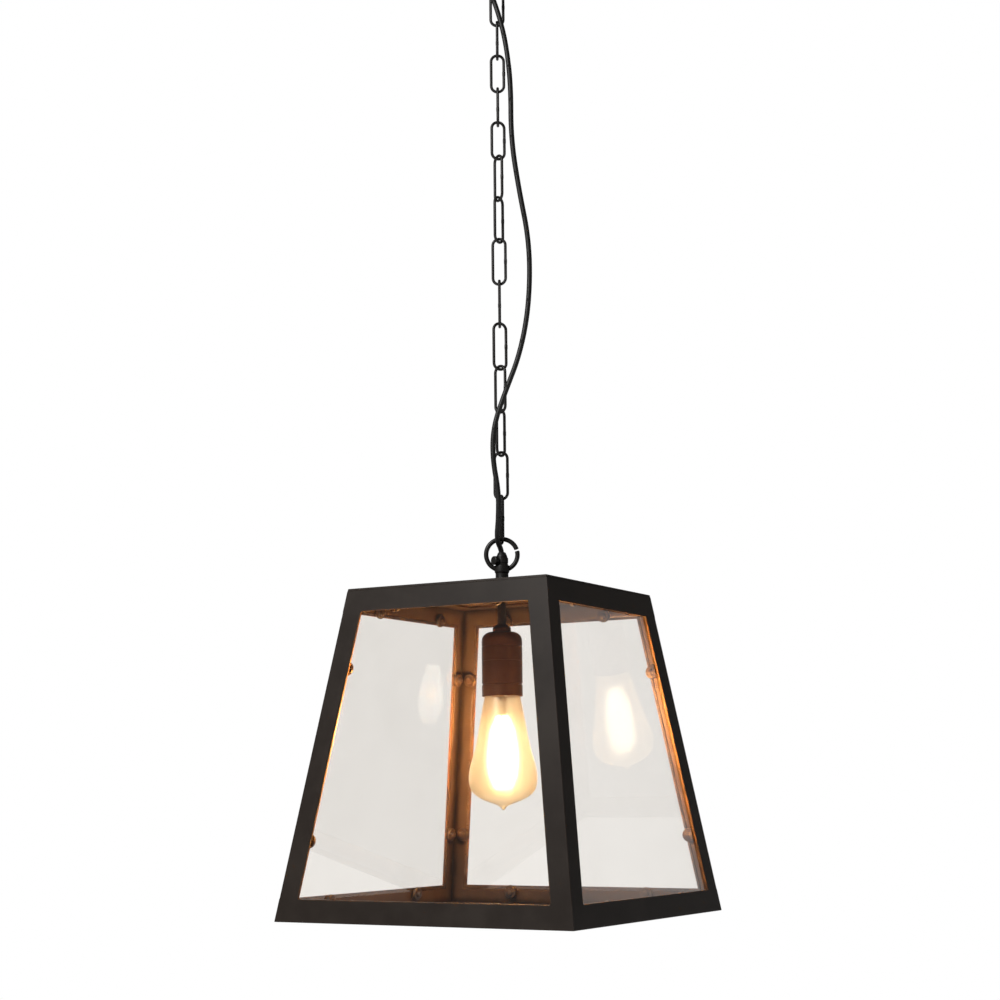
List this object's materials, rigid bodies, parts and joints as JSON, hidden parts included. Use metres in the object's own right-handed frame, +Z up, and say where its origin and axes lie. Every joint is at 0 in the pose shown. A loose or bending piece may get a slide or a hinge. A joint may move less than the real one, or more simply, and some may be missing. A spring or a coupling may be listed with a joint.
{
  "type": "hanging lantern",
  "caption": "Tapered square glass lantern in a dark metal frame, open below, hung by a welded-link chain from a ceiling rose, with a slack flex beside the chain and a teardrop filament bulb.",
  "frame": {"origin": "middle of the bracket's upper face, where it meets the ceiling", "axes": "+Z up to the ceiling, the lantern hangs along -Z with its four walls square to X and Y, -Y is its front wall"},
  "size_m": [0.3, 0.3, 0.9614],
  "materials": {
    "frame_bronze": "dark bronze powder coat, satin",
    "chain_black": "black-brown enamelled steel, satin",
    "rose_black": "dark bronze powder coat, satin",
    "zinc_steel": "zinc-plated sheet",
    "clip_bronze": "dark bronze lacquer",
    "clear_glass": "clear float glass",
    "holder_brown": "dark brown moulded resin, semi-gloss",
    "ceramic_white": "glazed white",
    "contact_brass": "plain brass",
    "bulb_amber": "amber-tinted clear glass",
    "bulb_metal": "plated sheet",
    "insulator_black": "black glass insulator with a solder tip",
    "stem_glass": "clear glass",
    "filament_wire": "fine wire",
    "cord_black": "round black sheath, matt",
    "bush_rubber": "black rubber"
  },
  "bodies": {
    "ceiling": {"ceiling_rose": "rose_black", "mounting_bracket": "zinc_steel", "rose_screws": "chain_black", "ceiling_loop": "chain_black", "loop_nut": "chain_black", "terminal_block": "ceramic_white", "cord_bush": "bush_rubber", "cord": "cord_black"},
    "link_01": {"chain_link_01": "chain_black"},
    "link_02": {"chain_link_02": "chain_black"},
    "link_03": {"chain_link_03": "chain_black"},
    "link_04": {"chain_link_04": "chain_black"},
    "link_05": {"chain_link_05": "chain_black"},
    "link_06": {"chain_link_06": "chain_black"},
    "link_07": {"chain_link_07": "chain_black"},
    "link_08": {"chain_link_08": "chain_black"},
    "link_09": {"chain_link_09": "chain_black"},
    "link_10": {"chain_link_10": "chain_black"},
    "link_11": {"chain_link_11": "chain_black"},
    "link_12": {"chain_link_12": "chain_black"},
    "link_13": {"chain_link_13": "chain_black"},
    "link_14": {"chain_link_14": "chain_black"},
    "lantern": {"bottom_rail_back": "frame_bronze", "bottom_rail_front": "frame_bronze", "bottom_rail_left": "frame_bronze", "bottom_rail_right": "frame_bronze", "centre_contact": "contact_brass", "clip_cap_nuts": "clip_bronze", "clip_discs": "clip_bronze", "clip_studs": "clip_bronze", "cord_grip": "chain_black", "corner_post_back_left": "frame_bronze", "corner_post_back_right": "frame_bronze", "corner_post_front_left": "frame_bronze", "corner_post_front_right": "frame_bronze", "glass_pane_back": "clear_glass", "glass_pane_front": "clear_glass", "glass_pane_left": "clear_glass", "glass_pane_right": "clear_glass", "grip_screw": "chain_black", "inner_lead": "cord_black", "lampholder_cap": "holder_brown", "lampholder_insert": "ceramic_white", "lampholder_skirt": "holder_brown", "roof_nut": "chain_black", "roof_plate": "frame_bronze", "stem_tube": "chain_black", "suspension_ring": "chain_black", "thread_sleeve": "contact_brass", "top_rail_back": "frame_bronze", "top_rail_front": "frame_bronze", "top_rail_left": "frame_bronze", "top_rail_right": "frame_bronze"},
    "bulb": {"bulb_glass": "bulb_amber", "bulb_cap": "bulb_metal", "bulb_contact": "insulator_black", "bulb_stem": "stem_glass", "filament_supports": "filament_wire", "filament": "filament_wire"}
  },
  "joints": [
    {"name": "link_01_swing", "type": "hinge", "parent": "ceiling", "child": "link_01", "pos_m": [0, 0, -0.0675], "axis": [-0.5, 0.866, 0], "range_deg": [-45, 45], "deforming": ["cord"]},
    {"name": "link_02_swing", "type": "hinge", "parent": "link_01", "child": "link_02", "pos_m": [0, 0, -0.10125], "axis": [0.866, 0.5, 0], "range_deg": [-45, 45], "deforming": ["cord"]},
    {"name": "link_03_swing", "type": "hinge", "parent": "link_02", "child": "link_03", "pos_m": [0, 0, -0.1356], "axis": [0.5, -0.866, 0], "range_deg": [-45, 45], "deforming": ["cord"]},
    {"name": "link_04_swing", "type": "hinge", "parent": "link_03", "child": "link_04", "pos_m": [0, 0, -0.16995], "axis": [-0.866, -0.5, 0], "range_deg": [-45, 45], "deforming": ["cord"]},
    {"name": "link_05_swing", "type": "hinge", "parent": "link_04", "child": "link_05", "pos_m": [0, 0, -0.2043], "axis": [-0.5, 0.866, 0], "range_deg": [-45, 45], "deforming": ["cord"]},
    {"name": "link_06_swing", "type": "hinge", "parent": "link_05", "child": "link_06", "pos_m": [0, 0, -0.23865], "axis": [0.766, 0.6428, 0], "range_deg": [-45, 45], "deforming": ["cord"]},
    {"name": "link_07_swing", "type": "hinge", "parent": "link_06", "child": "link_07", "pos_m": [0, 0, -0.2807], "axis": [-0.8988, 0.4384, 0], "range_deg": [-45, 45], "deforming": ["cord"]},
    {"name": "link_08_swing", "type": "hinge", "parent": "link_07", "child": "link_08", "pos_m": [0, 0, -0.32275], "axis": [-0.1392, -0.9903, 0], "range_deg": [-45, 45], "deforming": ["cord"]},
    {"name": "link_09_swing", "type": "hinge", "parent": "link_08", "child": "link_09", "pos_m": [0, 0, -0.3648], "axis": [0.9397, 0.342, 0], "range_deg": [-45, 45], "deforming": ["cord"]},
    {"name": "link_10_swing", "type": "hinge", "parent": "link_09", "child": "link_10", "pos_m": [0, 0, -0.40685], "axis": [-0.5, 0.866, 0], "range_deg": [-45, 45], "deforming": ["cord"]},
    {"name": "link_11_swing", "type": "hinge", "parent": "link_10", "child": "link_11", "pos_m": [0, 0, -0.4489], "axis": [-0.6561, -0.7547, 0], "range_deg": [-45, 45], "deforming": ["cord"]},
    {"name": "link_12_swing", "type": "hinge", "parent": "link_11", "child": "link_12", "pos_m": [0, 0, -0.49095], "axis": [-0.9781, 0.2079, 0], "range_deg": [-45, 45], "deforming": ["cord"]},
    {"name": "link_13_swing", "type": "hinge", "parent": "link_12", "child": "link_13", "pos_m": [0, 0, -0.533], "axis": [0.1045, 0.9945, 0], "range_deg": [-45, 45], "deforming": ["cord"]},
    {"name": "link_14_swing", "type": "hinge", "parent": "link_13", "child": "link_14", "pos_m": [0, 0, -0.57505], "axis": [0.9511, 0.309, 0], "range_deg": [-45, 45], "deforming": ["cord"]},
    {"name": "lantern_swing", "type": "hinge", "parent": "link_14", "child": "lantern", "pos_m": [0, 0, -0.6171], "axis": [-0.6691, 0.7431, 0], "range_deg": [-45, 45], "deforming": ["cord"]},
    {"name": "bulb_unscrew", "type": "slide", "parent": "lantern", "child": "bulb", "axis": [0, 0, -1], "range_m": [0, 0.03]}
  ]
}
